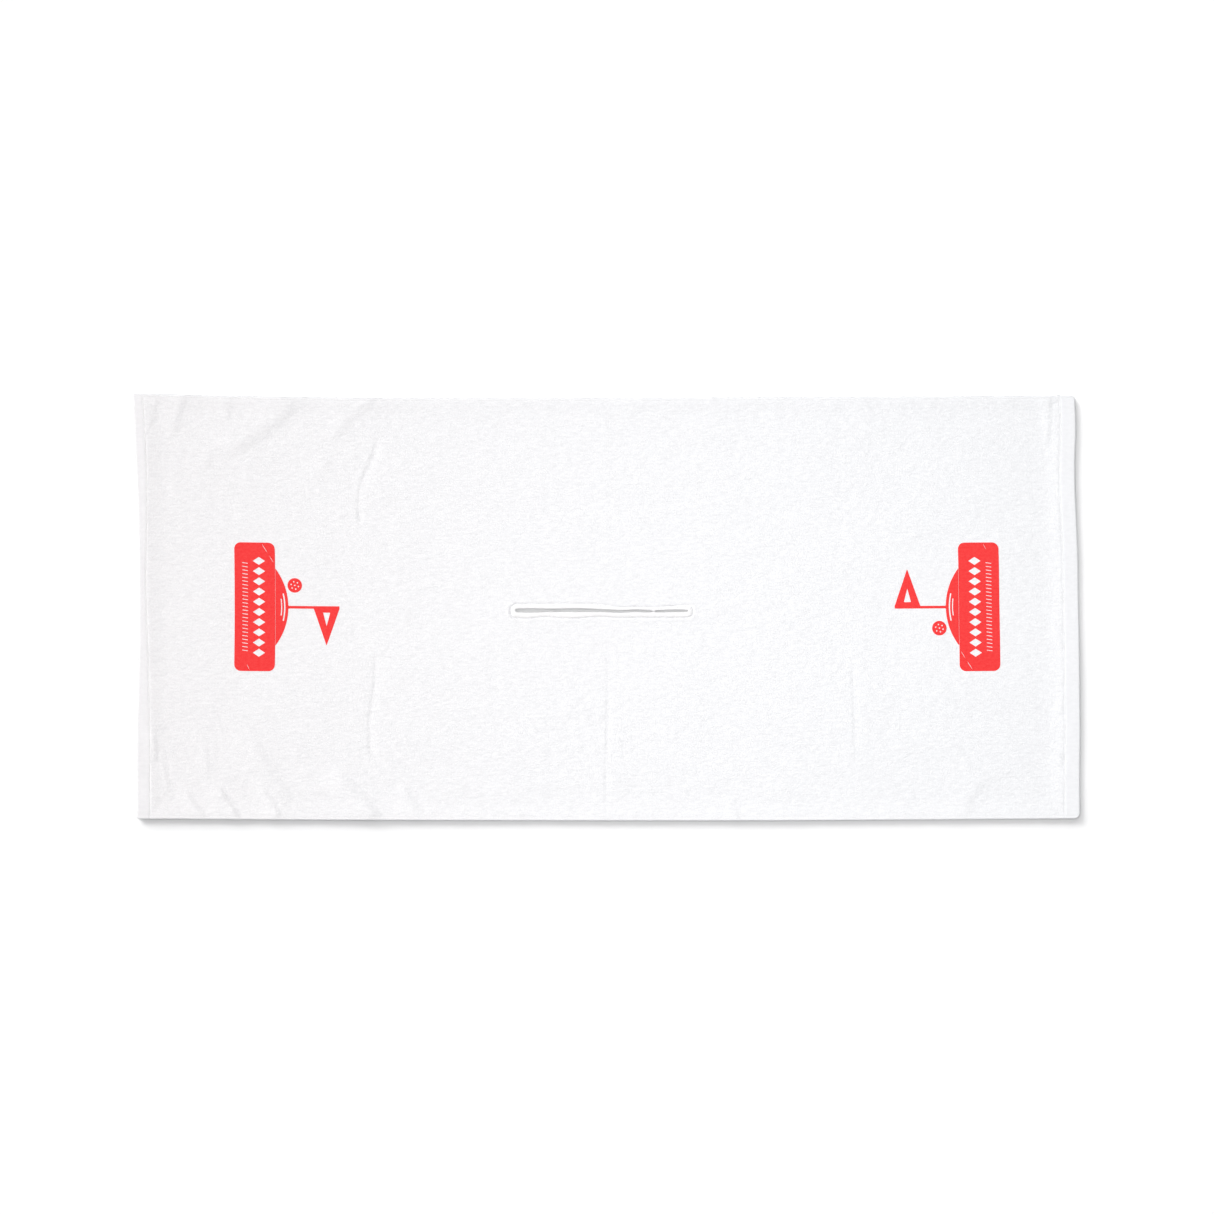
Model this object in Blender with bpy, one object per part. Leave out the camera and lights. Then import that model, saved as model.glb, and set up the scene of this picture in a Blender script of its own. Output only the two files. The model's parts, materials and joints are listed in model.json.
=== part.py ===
"""Slit golf towel: a terry cloth rectangle with hemmed edges, a bound club slit and two printed emblems.

It lies flat on its back, folded open. The cloth is divided into four panels at its three fold lines. The
outer folds turn up over the printed face and the middle fold turns down, so the four panels close like an
accordion. Metres, +X along the towel's length, +Y across it, +Z up out of the printed face, with the origin
at the middle of the underside.
"""

import math

import bmesh
import bpy
from mathutils import Vector

# Whole towel
LENGTH = 1.100
WIDTH = 0.494
CLOTH_THICK = 0.0034
GAP = 0.0003  # between neighbouring solids

# Hems: the cloth turned twice, pressed and sewn down
HEM_THICK = 0.0050
SIDE_HEM_WIDE = 0.0050
LEFT_HEM_WIDE = 0.0140
RIGHT_HEM_WIDE = 0.0200
HEM_ROUND = 0.0020  # radius of a hem's outer fold
HEM_ROUND_STEPS = 4

# Seams: one row of lockstitches, as a low bar of the thread's width
THREAD_WIDE = 0.0008
THREAD_HIGH = 0.0005
SEAM_INSET = 0.0018  # from a hem's inner edge to its seam
SEAM_END = 0.0030  # a seam stops this far short of the cloth's end

# Slit: it lies a little left of and in front of the middle
SLIT_LENGTH = 0.203
SLIT_OPEN = 0.0050
SLIT_MIDDLE = Vector((-0.0084, -0.0033))
BINDING_WIDE = 0.0055
BINDING_THICK = 0.0046
BINDING_CORNER = 0.0045  # outer corner radius of the binding
SLIT_CORNER = 0.0015  # inner corner radius of the binding
CORNER_STEPS = 4
BINDING_SEAM_INSET = 0.0012  # from the binding's outer edge to its seam

# Folds
FOLD_STEP = LENGTH / 4
UP_AXIS_Z = 0.0062  # above the hems and their seams
DOWN_AXIS_Z = -0.0005  # below the underside

# Print: a rounded bar with a flag emblem that stands on its inner side
FILM_THICK = 0.0003
BAR_LONG = 0.150
BAR_WIDE = 0.0475
BAR_CORNER = 0.0080
BAR_OUTER_LEFT = 0.1125  # from the towel's end to the bar's outer side
BAR_OUTER_RIGHT = 0.0925
EMBLEM_REACH = 0.0745  # the emblem's height away from the bar
MOUND_WIDE = 0.090
MOUND_HIGH = 0.0150
MOUND_STEPS = 4
POLE_WIDE = 0.0030
PENNANT_HIGH = 0.0300
PENNANT_LONG = 0.0430
BALL_RADIUS = 0.0085
BALL_ALONG = -0.0250
BALL_UP = 0.0225
BALL_STEPS = 16

# Colours are linear values: (red, green, blue, 1), roughness
CLOTH_LOOK = ((0.88, 0.87, 0.88, 1), 0.95)
HEM_LOOK = ((0.86, 0.85, 0.86, 1), 0.92)
THREAD_LOOK = ((0.90, 0.89, 0.90, 1), 0.60)
BINDING_LOOK = ((0.92, 0.92, 0.93, 1), 0.80)
PRINT_LOOK = ((1.00, 0.06, 0.06, 1), 0.75)

X_LEFT = -LENGTH / 2
X_RIGHT = LENGTH / 2
Y_FRONT = -WIDTH / 2
Y_BACK = WIDTH / 2
FOLD_LEFT = -FOLD_STEP
FOLD_RIGHT = FOLD_STEP

# Panel name: (its two ends along X)
PANELS = {
    "left_end": (X_LEFT, FOLD_LEFT),
    "left_inner": (FOLD_LEFT, 0.0),
    "right_inner": (0.0, FOLD_RIGHT),
    "right_end": (FOLD_RIGHT, X_RIGHT),
}


def clear_scene():
    """Starts from an empty scene."""
    for thing in list(bpy.data.objects):
        bpy.data.objects.remove(thing, do_unlink=True)


def make_material(name, look):
    """A Principled material with one colour and roughness."""
    colour, roughness = look
    material = bpy.data.materials.new(name)
    material.use_nodes = True
    shader = material.node_tree.nodes["Principled BSDF"]
    shader.inputs["Base Color"].default_value = colour
    shader.inputs["Roughness"].default_value = roughness
    shader.inputs["Metallic"].default_value = 0.0
    return material


def make_axis(name, x, z, parent):
    """An empty on a fold line, which the panel beyond the fold hangs from."""
    axis = bpy.data.objects.new(name, None)
    bpy.context.scene.collection.objects.link(axis)
    origin = Vector((x, 0.0, z))
    axis["origin"] = origin
    axis.parent = parent
    axis.location = origin - Vector(parent["origin"]) if parent else origin
    return axis


def place(name, mesh, material, axis):
    """Puts a mesh made in towel coordinates into the scene, hung from its panel's axis."""
    origin = Vector(axis["origin"])
    for vertex in mesh.vertices:
        vertex.co -= origin
    mesh.materials.append(material)
    thing = bpy.data.objects.new(name, mesh)
    bpy.context.scene.collection.objects.link(thing)
    thing.parent = axis
    return thing


def extrude_outline(name, outline, z_low, z_high):
    """A flat plate: a closed outline of (x, y) points between two heights."""
    outline = anticlockwise(outline)
    build = bmesh.new()
    low = [build.verts.new((x, y, z_low)) for x, y in outline]
    high = [build.verts.new((x, y, z_high)) for x, y in outline]
    build.faces.new(list(reversed(low)))
    build.faces.new(high)
    count = len(outline)
    for i in range(count):
        j = (i + 1) % count
        build.faces.new((low[i], low[j], high[j], high[i]))
    mesh = bpy.data.meshes.new(name)
    build.to_mesh(mesh)
    build.free()
    return mesh


def sweep_profile(name, profile, start, end, along_x):
    """A bar: a closed (across, up) profile carried from start to end along X, or along Y."""
    build = bmesh.new()
    if along_x:
        rings = [[build.verts.new((s, a, u)) for a, u in profile] for s in (start, end)]
    else:
        rings = [[build.verts.new((a, s, u)) for a, u in profile] for s in (start, end)]
    build.faces.new(rings[0])
    build.faces.new(rings[1])
    count = len(profile)
    for i in range(count):
        j = (i + 1) % count
        build.faces.new((rings[0][i], rings[0][j], rings[1][j], rings[1][i]))
    bmesh.ops.recalc_face_normals(build, faces=build.faces)
    mesh = bpy.data.meshes.new(name)
    build.to_mesh(mesh)
    build.free()
    return mesh


def arc(centre_x, centre_y, radius, from_degrees, to_degrees, steps):
    """Points along an arc, both ends included."""
    points = []
    for i in range(steps + 1):
        angle = math.radians(from_degrees + (to_degrees - from_degrees) * i / steps)
        points.append((centre_x + radius * math.cos(angle), centre_y + radius * math.sin(angle)))
    return points


def rounded_rectangle(x_low, y_low, x_high, y_high, radius, steps=CORNER_STEPS):
    """An anticlockwise rectangle with round corners."""
    outline = []
    outline += arc(x_low + radius, y_low + radius, radius, 180, 270, steps)
    outline += arc(x_high - radius, y_low + radius, radius, 270, 360, steps)
    outline += arc(x_high - radius, y_high - radius, radius, 0, 90, steps)
    outline += arc(x_low + radius, y_high - radius, radius, 90, 180, steps)
    return outline


def slit_end(side, grow, radius):
    """Half of a rectangle round the slit, grown by a margin, from its open end at the middle fold and back.

    side is -1 for the half left of the fold and +1 for the half right of it. The points run from the front
    of the open end, round the slit's end, to the back of the open end.
    """
    x_fold = side * GAP / 2
    x_end = SLIT_MIDDLE.x + side * (SLIT_LENGTH / 2 + grow)
    y_low = SLIT_MIDDLE.y - SLIT_OPEN / 2 - grow
    y_high = SLIT_MIDDLE.y + SLIT_OPEN / 2 + grow
    x_centre = x_end - side * radius
    middle_angle = 0 if side > 0 else 180
    front = arc(x_centre, y_low + radius, radius, 270, middle_angle + (360 if side > 0 else 0), CORNER_STEPS)
    back = arc(x_centre, y_high - radius, radius, middle_angle, 90, CORNER_STEPS)
    return [(x_fold, y_low)] + front + back + [(x_fold, y_high)]


def anticlockwise(outline):
    """The outline in anticlockwise order."""
    area = 0.0
    for i, (x0, y0) in enumerate(outline):
        x1, y1 = outline[(i + 1) % len(outline)]
        area += x0 * y1 - x1 * y0
    return outline if area > 0 else list(reversed(outline))


def panel_ends(panel):
    """The panel's two ends along X, drawn back by half a gap at a fold and by the end hem at an end."""
    start, end = PANELS[panel]
    start += LEFT_HEM_WIDE + GAP if panel == "left_end" else GAP / 2
    end -= RIGHT_HEM_WIDE + GAP if panel == "right_end" else GAP / 2
    return start, end


def cloth_panel(panel, axis, material):
    """One quarter of the cloth. The two inner quarters are notched for half of the bound slit each."""
    start, end = panel_ends(panel)
    y_low = Y_FRONT + SIDE_HEM_WIDE + GAP
    y_high = Y_BACK - SIDE_HEM_WIDE - GAP
    margin = BINDING_WIDE + GAP
    if panel == "left_inner":
        notch = slit_end(-1, margin, BINDING_CORNER)
        outline = [(start, y_low), (end, y_low)] + notch + [(end, y_high), (start, y_high)]
    elif panel == "right_inner":
        notch = slit_end(+1, margin, BINDING_CORNER)
        outline = [(end, y_high), (start, y_high)] + list(reversed(notch)) + [(start, y_low), (end, y_low)]
    else:
        outline = [(start, y_low), (end, y_low), (end, y_high), (start, y_high)]
    name = "cloth_" + panel
    mesh = extrude_outline(name, outline, 0.0, CLOTH_THICK)
    return place(name, mesh, material, axis)


def hem_profile(inner, outer):
    """A hem's section, (across, up): square at its inner edge and round at its outer fold."""
    side = 1 if outer > inner else -1
    centre = outer - side * HEM_ROUND
    low = arc(0, HEM_ROUND, HEM_ROUND, 270, 360, HEM_ROUND_STEPS)
    high = arc(0, HEM_THICK - HEM_ROUND, HEM_ROUND, 0, 90, HEM_ROUND_STEPS)
    rounded = [(centre + side * across, up) for across, up in low + high]
    return [(inner, 0.0)] + rounded + [(inner, HEM_THICK)]


def side_hem(panel, edge, axis, material):
    """The length of a side hem that belongs to one panel. edge is "front" or "back"."""
    start, end = panel_ends(panel)
    outer = Y_FRONT if edge == "front" else Y_BACK
    inner = outer + SIDE_HEM_WIDE if edge == "front" else outer - SIDE_HEM_WIDE
    name = f"side_hem_{edge}_{panel}"
    mesh = sweep_profile(name, hem_profile(inner, outer), start, end, along_x=True)
    return place(name, mesh, material, axis)


def thread_profile(middle):
    """A seam's section, (across, up), standing just clear of the hem under it."""
    low = HEM_THICK + GAP
    high = low + THREAD_HIGH
    half = THREAD_WIDE / 2
    return [(middle - half, low), (middle + half, low), (middle + half, high), (middle - half, high)]


def side_seam(panel, edge, axis, material):
    """The length of a side hem's row of stitches that belongs to one panel."""
    start, end = panel_ends(panel)
    toward_middle = 1 if edge == "front" else -1
    outer = Y_FRONT if edge == "front" else Y_BACK
    middle = outer + toward_middle * (SIDE_HEM_WIDE - SEAM_INSET)
    name = f"side_seam_{edge}_{panel}"
    mesh = sweep_profile(name, thread_profile(middle), start, end, along_x=True)
    return place(name, mesh, material, axis)


def end_hem(end_name, axis, material):
    """The whole of one end hem, corner to corner."""
    outer = X_LEFT if end_name == "left" else X_RIGHT
    inner = outer + LEFT_HEM_WIDE if end_name == "left" else outer - RIGHT_HEM_WIDE
    name = "end_hem_" + end_name
    mesh = sweep_profile(name, hem_profile(inner, outer), Y_FRONT, Y_BACK, along_x=False)
    return place(name, mesh, material, axis)


def end_seam(end_name, axis, material):
    """An end hem's row of stitches."""
    inner = X_LEFT + LEFT_HEM_WIDE if end_name == "left" else X_RIGHT - RIGHT_HEM_WIDE
    middle = inner + (-SEAM_INSET if end_name == "left" else SEAM_INSET)
    name = "end_seam_" + end_name
    start, end = Y_FRONT + SEAM_END, Y_BACK - SEAM_END
    mesh = sweep_profile(name, thread_profile(middle), start, end, along_x=False)
    return place(name, mesh, material, axis)


def slit_binding(half, axis, material):
    """Half of the band that is folded over the slit's edge: a long U, open at the middle fold."""
    side = -1 if half == "left" else 1
    outside = slit_end(side, BINDING_WIDE, BINDING_CORNER)
    inside = slit_end(side, 0.0, SLIT_CORNER)
    name = "slit_binding_" + half
    outline = outside + list(reversed(inside))
    mesh = extrude_outline(name, outline, 0.0, BINDING_THICK)
    return place(name, mesh, material, axis)


def slit_seam(half, axis, material):
    """Half of the row of stitches round the band, just inside its outer edge."""
    side = -1 if half == "left" else 1
    outer_grow = BINDING_WIDE - BINDING_SEAM_INSET
    inner_grow = outer_grow - THREAD_WIDE
    outside = slit_end(side, outer_grow, BINDING_CORNER - BINDING_SEAM_INSET)
    inside = slit_end(side, inner_grow, BINDING_CORNER - BINDING_SEAM_INSET - THREAD_WIDE)
    name = "slit_seam_" + half
    outline = outside + list(reversed(inside))
    low = BINDING_THICK + GAP
    mesh = extrude_outline(name, outline, low, low + THREAD_HIGH)
    return place(name, mesh, material, axis)


def film_heights():
    """A print's underside and top."""
    low = CLOTH_THICK + GAP
    return low, low + FILM_THICK


def bar_sides(end_name):
    """The print bar's outer and inner side along X."""
    if end_name == "left":
        outer = X_LEFT + BAR_OUTER_LEFT
        return outer, outer + BAR_WIDE
    outer = X_RIGHT - BAR_OUTER_RIGHT
    return outer, outer - BAR_WIDE


def print_bar(end_name, axis, material):
    """The rounded bar of a print, its long side across the towel."""
    outer, inner = bar_sides(end_name)
    x_low, x_high = min(outer, inner), max(outer, inner)
    outline = rounded_rectangle(x_low, -BAR_LONG / 2, x_high, BAR_LONG / 2, BAR_CORNER)
    name = "print_bar_" + end_name
    mesh = extrude_outline(name, outline, *film_heights())
    return place(name, mesh, material, axis)


def flag_outline():
    """A pennant on a pole on a low mound, as (along the bar, away from the bar) points."""
    radius = (MOUND_WIDE**2 / 4 + MOUND_HIGH**2) / (2 * MOUND_HIGH)
    half = POLE_WIDE / 2
    foot = math.degrees(math.asin((radius - MOUND_HIGH) / radius))
    top = math.degrees(math.acos(half / radius))
    right = arc(0.0, MOUND_HIGH - radius, radius, foot, top, MOUND_STEPS)
    left = arc(0.0, MOUND_HIGH - radius, radius, 180 - top, 180 - foot, MOUND_STEPS)
    pennant_low = EMBLEM_REACH - PENNANT_HIGH
    tip = (half + PENNANT_LONG, EMBLEM_REACH - PENNANT_HIGH / 2)
    return right + [(half, pennant_low), tip, (half, EMBLEM_REACH), (-half, EMBLEM_REACH)] + left


def ball_outline():
    """The golf ball beside the pole, clear of the mound."""
    return arc(BALL_ALONG, BALL_UP, BALL_RADIUS, 0, 360 - 360 / BALL_STEPS, BALL_STEPS - 1)


def print_on_bar(name, end_name, shape, axis, material):
    """A printed shape that stands on the inner side of a print bar."""
    inner = bar_sides(end_name)[1]
    inward = 1 if end_name == "left" else -1
    outline = [(inner + inward * (GAP + up), -inward * along) for along, up in shape]
    mesh = extrude_outline(f"{name}_{end_name}", outline, *film_heights())
    return place(mesh.name, mesh, material, axis)


def main():
    clear_scene()
    cloth = make_material("terry_cloth", CLOTH_LOOK)
    hem = make_material("hem_cloth", HEM_LOOK)
    thread = make_material("sewing_thread", THREAD_LOOK)
    binding = make_material("binding_tape", BINDING_LOOK)
    ink = make_material("print_ink", PRINT_LOOK)

    ground = make_axis("towel_origin", 0.0, 0.0, None)
    left_end = make_axis("left_fold_axis", FOLD_LEFT, UP_AXIS_Z, ground)
    right_inner = make_axis("centre_fold_axis", 0.0, DOWN_AXIS_Z, ground)
    right_end = make_axis("right_fold_axis", FOLD_RIGHT, UP_AXIS_Z, right_inner)
    axes = {
        "left_end": left_end,
        "left_inner": ground,
        "right_inner": right_inner,
        "right_end": right_end,
    }

    for panel, axis in axes.items():
        cloth_panel(panel, axis, cloth)
        for edge in ("front", "back"):
            side_hem(panel, edge, axis, hem)
            side_seam(panel, edge, axis, thread)
    for half in ("left", "right"):
        outer_axis = axes[half + "_end"]
        inner_axis = axes[half + "_inner"]
        end_hem(half, outer_axis, hem)
        end_seam(half, outer_axis, thread)
        slit_binding(half, inner_axis, binding)
        slit_seam(half, inner_axis, thread)
        print_bar(half, outer_axis, ink)
        print_on_bar("print_flag", half, flag_outline(), outer_axis, ink)
        print_on_bar("print_ball", half, ball_outline(), outer_axis, ink)


main()
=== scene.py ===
"""Looks of a slit golf towel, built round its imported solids.

The towel is described flat and square first, on a pattern: u runs along its length like X, and v across its
width like Y. Functions give the heights of its upper surface and underside, with the hems, seams, wrinkles
and pile in them, and the pieces take their shapes from those. lay_out() then carries pattern places to where
the cloth lies, with its slightly wavy edges. Lengths are in metres, except where a comment says mm.
"""

import json
import math

import bpy
import numpy as np
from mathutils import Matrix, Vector
from mathutils.bvhtree import BVHTree
from mathutils.geometry import delaunay_2d_cdt

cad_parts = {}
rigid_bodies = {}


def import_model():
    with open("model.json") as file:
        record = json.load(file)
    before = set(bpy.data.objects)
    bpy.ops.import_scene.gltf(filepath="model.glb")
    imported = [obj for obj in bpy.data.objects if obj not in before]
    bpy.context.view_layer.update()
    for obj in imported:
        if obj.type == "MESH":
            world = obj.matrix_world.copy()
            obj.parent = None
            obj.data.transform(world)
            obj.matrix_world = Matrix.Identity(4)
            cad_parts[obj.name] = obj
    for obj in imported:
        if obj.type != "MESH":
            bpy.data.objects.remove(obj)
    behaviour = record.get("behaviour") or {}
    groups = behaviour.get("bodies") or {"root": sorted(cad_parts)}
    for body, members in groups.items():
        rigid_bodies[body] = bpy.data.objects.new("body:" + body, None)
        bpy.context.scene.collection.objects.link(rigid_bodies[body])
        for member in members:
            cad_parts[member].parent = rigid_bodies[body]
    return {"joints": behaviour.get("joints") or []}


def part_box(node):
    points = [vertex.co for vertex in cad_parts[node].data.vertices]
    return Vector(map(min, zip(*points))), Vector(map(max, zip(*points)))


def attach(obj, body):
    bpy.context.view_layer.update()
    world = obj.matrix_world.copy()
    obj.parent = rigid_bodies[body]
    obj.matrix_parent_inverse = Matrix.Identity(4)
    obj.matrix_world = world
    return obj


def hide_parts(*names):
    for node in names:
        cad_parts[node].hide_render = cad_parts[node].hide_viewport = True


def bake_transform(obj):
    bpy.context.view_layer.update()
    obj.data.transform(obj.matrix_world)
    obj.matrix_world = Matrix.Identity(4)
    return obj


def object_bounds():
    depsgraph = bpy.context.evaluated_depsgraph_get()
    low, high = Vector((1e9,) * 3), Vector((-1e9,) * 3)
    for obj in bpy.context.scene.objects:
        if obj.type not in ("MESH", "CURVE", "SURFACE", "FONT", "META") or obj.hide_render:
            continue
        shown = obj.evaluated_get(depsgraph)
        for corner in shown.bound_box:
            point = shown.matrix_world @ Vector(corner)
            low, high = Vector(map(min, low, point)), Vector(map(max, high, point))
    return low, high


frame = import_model()
CAD_LOW, CAD_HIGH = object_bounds()
MM = 0.001

# -------- sizes from the frame
LEFT, RIGHT = CAD_LOW.x, CAD_HIGH.x
FRONT, BACK = CAD_LOW.y, CAD_HIGH.y
LEFT_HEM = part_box("end_hem_left")[1].x - LEFT
RIGHT_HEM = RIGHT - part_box("end_hem_right")[0].x
SIDE_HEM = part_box("side_hem_front_left_inner")[1].y - FRONT
CLOTH_LEFT, CLOTH_RIGHT = LEFT + LEFT_HEM, RIGHT - RIGHT_HEM  # the hems' inner edges
CLOTH_FRONT, CLOTH_BACK = FRONT + SIDE_HEM, BACK - SIDE_HEM
CLOTH_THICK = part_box("cloth_left_inner")[1].z
HEM_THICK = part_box("end_hem_left")[1].z
FOLDS = {joint["name"]: joint["pos_m"][0] for joint in frame["joints"]}
FOLD_LEFT, FOLD_RIGHT = FOLDS["left_fold"], FOLDS["right_fold"]
CUT_LEFT, CUT_RIGHT = FOLD_LEFT / 2, FOLD_RIGHT / 2  # where one length of the shown cloth meets the next

BAND_LOW = Vector(map(min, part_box("slit_binding_left")[0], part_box("slit_binding_right")[0]))
BAND_HIGH = Vector(map(max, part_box("slit_binding_left")[1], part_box("slit_binding_right")[1]))
BAND_TOP = BAND_HIGH.z

# -------- how the cloth lies, with tables in mm
# Rows of (place along the edge, how far the edge is off a straight one)
LEFT_EDGE = ((-247, -2.3), (-167, -2.7), (-50, 0.1), (6, 0.5), (67, 0.1), (185, -4.1), (247, -7))
RIGHT_EDGE = (
    (-247, 2.2), (-195, 1.8), (-150, 2.4), (-100, 1.9), (-50, 1.4), (6, 0.4), (67, -0.7), (110, -2.5),
    (148, -3.9), (175, -3.9), (203, -2.8), (247, -4),
)
FRONT_EDGE = ((-550, -0.1), (-350, -1.3), (-115, -2.1), (120, -2.25), (240, -2), (350, -1.3), (550, 0.2))
BACK_EDGE = ((-550, 3.7), (-350, -0.4), (-115, -1.4), (120, -0.7), (350, 0.4), (550, 1.6))
# The left end hem's seam is straighter than its edge: (place, how far the seam is off that edge's line)
LEFT_SEAM = (
    (-211, 3.2), (-148, 3.1), (-100, 1), (-53, -1.2), (-5, -3.6), (57, -3.9), (105, -1.8), (168, 0),
    (232, -0.5),
)
LEFT_SEAM_FADE = 62 * MM  # from the edge in to where the seam's drift has died away
CORNERS = ((-1, -1, 3.0), (-1, 1, 2.5), (1, -1, 8.0), (1, 1, 5.5))  # (-1 left, -1 front, radius)

# Soft folds, which stand up on their left side and fall away to their right: the line of the fall, from the
# back to the front, its height, half its width, and how far the raised side reaches
FALLS = (
    # the back left corner
    (((-336, 256), (-357, 239), (-375, 222), (-394, 206), (-427, 186), (-472, 174)), 2.05, 8.5, 34),
    (((-260, 254), (-277, 236), (-296, 220), (-308, 206), (-324, 186)), 1.3, 7.5, 24),
    (((-520, 262), (-523, 236), (-525, 222), (-534, 200)), 0.85, 4, 9),
    (((-484, 254), (-493, 232), (-498, 213), (-506, 194)), 1.1, 5, 18),
    (((-430, 256), (-437, 231), (-440, 212)), 0.73, 4.5, 14),
    (((-458, 184), (-464, 172), (-468, 156)), 0.49, 3.5, 10),
    (((-318, 178), (-330, 160), (-336, 140)), 0.55, 5, 16),
    (((-536, 120), (-534, 95), (-536, 70)), 0.43, 3, 7),
    # the front left corner
    (((-424, -128), (-406, -162), (-393, -186), (-374, -214), (-362, -246)), 1.6, 6.5, 26),
    (((-457, -200), (-445, -222), (-433, -238), (-423, -262)), 2.3, 4.4, 16),
    (((-494, -208), (-482, -228), (-472, -240), (-464, -264)), 1.7, 4, 13),
    (((-408, -198), (-393, -222), (-385, -236), (-380, -262)), 1.5, 3.8, 11),
    (((-324, -180), (-302, -203), (-283, -220), (-269, -240), (-262, -264)), 2.7, 7, 26),
    (((-352, -182), (-340, -204), (-332, -222)), 0.7, 5, 14),
    (((-533, -140), (-530, -162), (-529, -188)), 0.98, 3.2, 8),
    (((-521, -170), (-516, -196), (-513, -220)), 0.85, 3.8, 9),
    (((-547, -150), (-545, -178), (-543, -206)), 0.8, 4, 8),
    (((-548, -214), (-545, -230), (-541, -256)), 0.65, 4, 8),
    (((-470, -156), (-466, -180), (-463, -202)), 0.73, 3.8, 10),
    (((-243, -196), (-229, -220), (-218, -240), (-210, -264)), 1.1, 4.4, 14),
    (((-129, -196), (-113, -220), (-100, -238), (-94, -262)), 0.85, 4.6, 14),
    # the right end is nearly flat
    (((523, 262), (521, 236), (519, 208), (518, 186)), 0.85, 3.2, 9),
    (((298, 262), (308, 238), (318, 218)), 0.61, 5, 16),
    (((446, -194), (432, -214), (418, -236), (412, -262)), 0.73, 6, 20),
    (((138, -212), (150, -236), (156, -262)), 0.61, 4.6, 14),
)
EDGE_FLAT_REACH = 9 * MM  # soft folds die down this near the front and right edges
# Marks that folding left: line, height, half width. The cloth sinks in those below zero.
CREASES = (
    (((-262, 208), (-272, 178), (-282, 157), (-289, 136), (-290.5, 116), (-290, 92)), -0.95, 2.1),
    (((-273.5, -46), (-273, -86), (-279, -132), (-276, -184)), -0.85, 2),
    (((-1, -30), (-1.5, -120), (-3, -247)), -0.62, 1.6),
    (((0, 30), (1, 247)), 0.14, 2),
    (((284, -56), (286.5, -120), (289, -186)), -0.62, 2),
    (((276, 40), (275, 247)), -0.14, 2.2),
    (((-560, -44), (-541, -43), (-518, -45)), 0.55, 2.2),
    (((522, -10), (540, -12), (560, -11)), 0.45, 2.2),
)

# -------- hems and seams
END_TURN, SIDE_TURN = 2.0 * MM, 1.7 * MM  # how far in a hem's outer fold stays round
TURN_MIDDLE = 2.2 * MM  # height of the outermost line of a hem's fold
SEAM_INSET = 1.8 * MM  # from a hem's inner edge out to its stitches
END_SEAM_DEPTH, SIDE_SEAM_DEPTH = 0.45 * MM, 0.26 * MM  # how far the stitches pull the cloth down
SEAM_REACH = 1.1 * MM  # and how far to each side
UNDER_PULL = 0.7  # how far they pull the underside up, for each unit that they pull the top down
FLAP_LIFT, FLAP_REACH = 1.42 * MM, 12 * MM  # the turned flap lifts the cloth beside it this much and this far
THREAD_RADIUS = 0.33 * MM
STITCH_PITCH, STITCH_LENGTH = 3.2 * MM, 2.75 * MM
SEAM_END = 3 * MM  # an end seam stops this far from the towel's corner
SEAM_CUT_GAP = 0.24 * MM  # a side seam stops this far from a cut

# -------- slit
# Rows, in mm, of (place along from the slit's middle, back edge, front edge), for the slit and for its band
SLIT_EDGES = (
    (-96.6, 2.2, -1.7), (-86.6, 2.4, -2.1), (-61.6, 2, -1.5), (-28.6, 2.4, -1.4), (0.4, 1.5, -1.6),
    (26.4, 0.4, -2.4), (39.4, 1.1, -1.7), (52.4, 0.5, -2), (58, 0.1, -1.9), (60, -0.75, -1.05),
    (62, -0.75, -1.05), (64, 0, -1.8), (69.4, 0.2, -2), (80.4, 0.8, -1.8), (100, 0.7, -1.7),
)
BAND_EDGES = (
    (-100, 7.4, -8), (-87, 7.6, -8.7), (-62, 7.5, -6.9), (-45, 7.7, -8.8), (-28, 7.6, -8.8),
    (-12, 7.2, -7.2), (8.4, 5.6, -7.3), (15, 4.1, -7.6), (25, 3.5, -8), (42, 3.9, -7.7), (57, 3.6, -8),
    (80, 4.3, -8.1), (101, 6.4, -7.9),
)
BAND_SIDE = 96 * MM  # the long sides run this far each way from the slit's middle
SLIT_END, BAND_END = 101.6 * MM, (BAND_HIGH.x - BAND_LOW.x) / 2
LEFT_SHORT = 1.2 * MM  # the slit and band reach this much less far to the left
SLIT_POWER, BAND_POWER = 2.4, 3.0  # how square their ends are: 2 would be elliptical
LOOP_STEP = 1.6 * MM
BAND_OVERLAP = 0.3 * MM  # how far the band reaches under the cloth round it
GROOVE_DEPTH, GROOVE_REACH = 1.4 * MM, 0.75 * MM
BAND_SEAM_INSET = 1.5 * MM
BAND_TURN, BAND_TURN_MIDDLE = 1.15 * MM, 3.0 * MM  # how far in the band stays round at the slit, and how high

# -------- prints
INK_LIFT, INK_SUNK = 0.22 * MM, 0.30 * MM  # how far a film of ink stands out of the pile and reaches into it
INK_STEP, HOLE_STEP = 1.6 * MM, 0.9 * MM  # longest straight stretch of a print's outline, and of a hole's
INK_MARGIN = 0.8 * MM  # an inner vertex of a film is at least this far from its outline
BAR_CORNER = 7.6 * MM
PRINT_SHIFT = 1.2 * MM  # the prints sit this much nearer the back than the middle line
CALM_ROUND_PRINT = 4 * MM  # the ink presses the pile flat this far round it

# -------- grid
STEP, FOLD_STEP = 2.15 * MM, 1.2 * MM
HEM_STEP, SIDE_STEP, SEAM_STEP = 1.7 * MM, 0.5 * MM, 0.6 * MM  # on an end hem, on a side hem, at a seam
PATCH_MARGIN = 9 * MM  # this far round the band, triangles take over from the grid
PATCH_CLEAR = 2.1 * MM  # the grid's own places are kept down to this far from it
PATCH_RINGS = ((0.55, 1.4), (1.4, 1.7))  # rings of places round the band: (how far from it, step), in mm
HOLE_EDGE_STEP = 1.3 * MM
TURN_STEPS = 6
NORMAL_STEP = 0.9 * MM


# ======== small maths
def ease(x):
    """0 to 1 with level ends."""
    x = np.clip(x, 0.0, 1.0)
    return x * x * (3 - 2 * x)


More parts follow.
